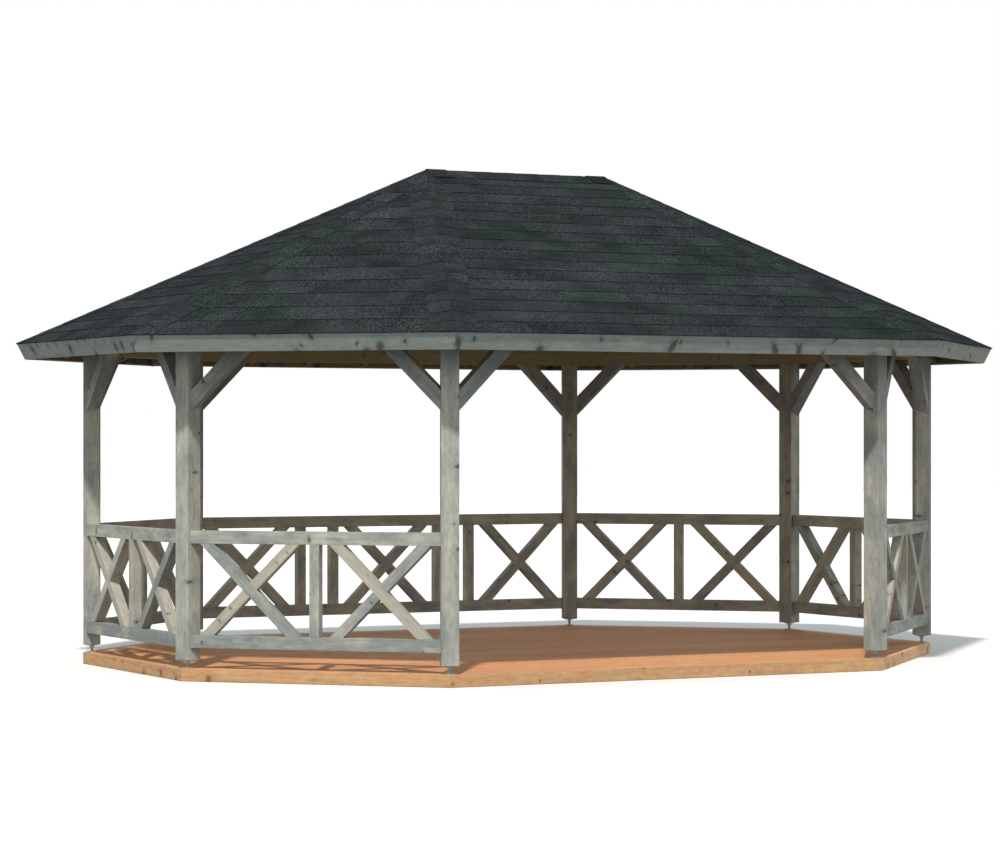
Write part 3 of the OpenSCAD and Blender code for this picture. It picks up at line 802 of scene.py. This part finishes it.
def slab(stock, place, corners, thick, cuts, tone, lay, normal=OUT, butt=DOWN):
    """A thin tile over four corners, listed round it, that hangs thick below them. Its exposed end
    looks the way of butt, and lay shifts its pattern."""
    bm = bmesh.new()
    top = [bm.verts.new(c) for c in corners]
    low = [bm.verts.new(c - normal * thick) for c in corners]
    bm.faces.new(top)
    bm.faces.new(low[::-1])
    for k in range(4):
        bm.faces.new((top[k - 1], low[k - 1], low[k], top[k]))
    bmesh.ops.recalc_face_normals(bm, faces=bm.faces[:])
    for point, direction in cuts:
        if plane_reaches(bm, point, direction):
            saw(bm, point, direction)
    if len(bm.faces) < 4:
        bm.free()
        return
    bmesh.ops.bevel(bm, geom=bm.edges[:], offset=SLAB_EASE, segments=1, affect="EDGES", clamp_overlap=True)
    stock.add(bm, place, tone, lay, butt)


def any_lay():
    """Where on a sheet of felt a tab was cut."""
    return Vector((rng.uniform(0, 40), rng.uniform(0, 40), 0))


def any_tone(middle, spread):
    """A tone by chance, about the middle and held within 0 and 1."""
    return min(1.0, max(0.0, rng.gauss(middle, spread)))


def shingles(side):
    """Tabs laid in courses from the eave up, over a felt that is seen only in the slots. Tabs of one
    strip share a tone, and those of one course a pattern. Each tab's head lies under the next course."""
    stock = Stock()
    place = at_side(side)
    cuts = mitres(side) + [RIDGE_CUT]
    reach = half(side, EAVE) + OVERWIDE
    past_ridge = SLOPE * 1.05
    felt = [on_slope(0.0, -reach, FELT_TOP), on_slope(0.0, reach, FELT_TOP),
            on_slope(-past_ridge, reach, FELT_TOP), on_slope(-past_ridge, -reach, FELT_TOP)]
    slab(stock, place, felt, FELT_T, cuts, FELT_TONE, any_lay())
    course, head_lap, head_z = COURSE[side], 0.02, 0.002
    low = DRIP
    row = 0
    while low > -SLOPE:
        reach = half(side, EAVE + low * math.cos(PITCH))
        # Every second course is shifted by half a tab, give or take a little
        y = -reach - TAB * (0.5 * (row % 2) + rng.uniform(0.2, 0.3))
        strip, lay = 0, any_lay()
        while y < reach:
            if not strip:
                strip, tone = rng.choice((1, 2, 2, 3)), any_tone(0.5, 0.28)
            strip -= 1
            z = SHINGLE_T - rng.uniform(0.0, 0.0008)
            left, right = y + SLOT / 2, y + TAB - SLOT / 2
            slip = rng.uniform(-0.0015, 0.0015) if row else 0.0
            tip, head = low + slip, low - course - head_lap
            corners = [on_slope(tip, left, z), on_slope(tip, right, z),
                       on_slope(head, right, head_z), on_slope(head, left, head_z)]
            slab(stock, place, corners, TAB_T, cuts, tone, lay)
            y += TAB
        low -= course
        row += 1
    return stock.piece("bitumen_shingles_" + side, shingle_felt, "bitumen_shingle", "roof_" + side)


def hip_caps():
    """Tabs folded over each hip, lapped from the eave up."""
    stock = Stock()
    down, _, corner_point = hip_line()
    wing, exposed, overhang = 0.155, 0.185, 0.006
    tip_z, head_z, eave_inset = 0.0088, 0.0062, 0.0035
    length = (EAVE / COS) / down.x
    for corner in CORNERS:
        place = at_corner(corner)
        up = -overhang
        while up < length - LEAST_CAP:
            tone = any_tone(0.5, 0.12)
            for s in (-1, 1):
                normal = turned_about(s, OUT)
                aside = normal.cross(down).normalized()
                if aside.y * s < 0:
                    aside = -aside
                a = corner_point - down * up
                b = corner_point - down * min(up + exposed + CAP_LAP, length)
                top = [a + normal * tip_z, b + normal * head_z, b + aside * wing + normal * head_z,
                       a + aside * wing + normal * tip_z]
                eave = turned_about(s, on_slope(DRIP - eave_inset, 0, 0))
                cuts = [(Vector((0, 0, 0)), Vector((0, -s, 0))),
                        (eave, turned_about(s, OUTWARD)),
                        (Vector((0, 0, 0)), turned_about(s, Vector((0, s, 0)))),
                        (Vector((0, 0, 0)), turned_about(s, -OUTWARD))]
                slab(stock, place, top, CAP_T, cuts, tone, any_lay(), normal, down)
            up += exposed
    return stock.piece("bitumen_hip_caps", shingle_felt, "bitumen_shingle", "ridge_cap")


def ridge_cap_wing(stock, place, y0, y1, z0, z1, thick, tone, butt):
    """One side of a tab folded over the ridge, from y0 to y1, with its top at z0 and z1 there."""
    wing = 0.150
    ridge, edge = -SLOPE, wing - SLOPE
    top = [on_slope(ridge, y0, z0), on_slope(ridge, y1, z1), on_slope(edge, y1, z1), on_slope(edge, y0, z0)]
    slab(stock, place, top, thick, [RIDGE_CUT], tone, any_lay(), butt=butt)


def ridge_caps():
    """Tabs folded over the ridge, with a doubled one at each end."""
    stock = Stock()
    exposed, end_piece = 0.190, 0.160
    head_z, tip_z = 0.008, 0.010
    end_z, end_t, end_tone = 0.014, 0.006, 0.4
    for side in ("front", "back"):
        place = at_side(side)
        y = -HUB_X + end_piece - CAP_LAP
        while y < HUB_X - end_piece:
            tone = any_tone(0.45, 0.2)
            y1 = min(y + exposed + CAP_LAP, HUB_X - LEAST_CAP)
            ridge_cap_wing(stock, place, y, y1, head_z, tip_z, CAP_T, tone, Vector((0, 1, 0)))
            y += exposed
        for s in (-1, 1):
            y0, y1 = sorted((s * HUB_X, s * (HUB_X - end_piece)))
            ridge_cap_wing(stock, place, y0, y1, end_z, end_z, end_t, end_tone, Vector((0, -s, 0)))
    return stock.piece("bitumen_ridge_caps", shingle_felt, "bitumen_shingle", "ridge_cap")


# ---- Build -------------------------------------------------------------------------------------
deck_boards()
deck_joists()
deck_rim(STRAIGHT, "pine_rim_straight", "deck_rim_straight")
deck_rim(ANGLED, "pine_rim_corner", "deck_rim_corner")
post_feet()
for corner in CORNERS:
    post(corner)
for side in SIDES:
    if side == "back":
        long_railing(side)
    elif side == "left":
        short_railing(side, False, ((0.75, 0.85), (0.05, 0.9)))
    elif side != "front":
        short_railing(side)
    braces(side)
    roof_boards(side)
    shingles(side)
wall_plates(STRAIGHT, "pine_wall_plates_straight", "wall_plates_straight")
wall_plates(ANGLED, "pine_wall_plates_corner", "wall_plates_corner")
fascia(STRAIGHT, "pine_fascia_straight", "fascia_straight")
fascia(ANGLED, "pine_fascia_corner", "fascia_corner")
common_rafters()
hip_rafters()
ridge_hubs()
ridge_beam()
hip_caps()
ridge_caps()


# ---- Stage, light and camera -------------------------------------------------------------------
def pale_floor():
    """A matt floor, pale to the camera so that only the gazebo's shadow shows on it, and duller
    to the other rays, so that it throws no more light up than paving does."""
    half_width, sunk = 60, 0.001
    bm = bmesh.new()
    bmesh.ops.create_grid(bm, x_segments=1, y_segments=1, size=half_width)
    me = bpy.data.meshes.new("floor")
    bm.to_mesh(me)
    bm.free()
    floor = bpy.data.objects.new("floor", me)
    bpy.context.collection.objects.link(floor)
    floor.location.z = -sunk
    material, tree = new_material("matt_pale_floor")
    path = node(tree, "ShaderNodeLightPath")
    pale = node(tree, "ShaderNodeBsdfDiffuse", {"Color": linear("#f0f0f0")})
    dull = node(tree, "ShaderNodeBsdfDiffuse", {"Color": linear("#787f84")})
    floor_mix = node(tree, "ShaderNodeMixShader", {0: path.outputs["Is Camera Ray"], 1: dull, 2: pale})
    node(tree, "ShaderNodeOutputMaterial", {"Surface": floor_mix})
    me.materials.append(material)


def white_world():
    """A pale sky for light, brighter and warmer low down, and plain white where the camera or a
    reflection looks past the gazebo."""
    world = bpy.data.worlds.new("studio")
    bpy.context.scene.world = world
    world.use_nodes = True
    tree = world.node_tree
    tree.nodes.clear()
    path = node(tree, "ShaderNodeLightPath")
    seen = node(tree, "ShaderNodeMath", {0: path.outputs["Is Camera Ray"],
                1: path.outputs["Is Glossy Ray"]}, operation="ADD", use_clamp=True)
    seen = node(tree, "ShaderNodeMath", {0: seen, 1: path.outputs["Is Transmission Ray"]}, operation="ADD",
                use_clamp=True)
    up = node(tree, "ShaderNodeTexCoord").outputs["Generated"]
    up = node(tree, "ShaderNodeSeparateXYZ", {0: up}).outputs["Z"]
    level = node(tree, "ShaderNodeMapRange", {"Value": up, "From Min": 0.35, "From Max": 0.85,
                 "To Min": 1.26, "To Max": 0.40})
    tint = node(tree, "ShaderNodeValToRGB", {"Fac": up}, stops=[(0.25, "#f6f2e9"), (0.60, "#e4f3f9")])
    light = node(tree, "ShaderNodeBackground", {"Color": tint, "Strength": level})
    white = node(tree, "ShaderNodeBackground", {"Color": (1, 1, 1, 1), "Strength": 1.0})
    sky = node(tree, "ShaderNodeMixShader", {0: seen, 1: light, 2: white})
    node(tree, "ShaderNodeOutputWorld", {"Surface": sky})


def key_light():
    """High soft light from the front left."""
    azimuth, elevation = math.radians(235.3), math.radians(52.6)
    toward = Vector((math.cos(azimuth) * math.cos(elevation), math.sin(azimuth) * math.cos(elevation),
                     math.sin(elevation)))
    lamp = bpy.data.lights.new("key", "SUN")
    lamp.energy, lamp.angle, lamp.color = 2.95, math.radians(3), linear("#fff9f5")[:3]
    ob = bpy.data.objects.new("key", lamp)
    ob.rotation_mode = "QUATERNION"
    ob.rotation_quaternion = toward.to_track_quat("Z", "Y")
    bpy.context.collection.objects.link(ob)


def camera():
    data = bpy.data.cameras.new("camera")
    data.sensor_width, data.lens, data.shift_y = 36.0, 115.41, 0.00906
    data.clip_end = 200
    ob = bpy.data.objects.new("camera", data)
    ob.location = (-11.127, -21.130, 1.640)
    ob.rotation_euler = (math.radians(90), 0, math.radians(-27.477))
    bpy.context.collection.objects.link(ob)
    bpy.context.scene.camera = ob


pale_floor()
white_world()
key_light()
camera()
bpy.context.scene.view_settings.view_transform = "Standard"
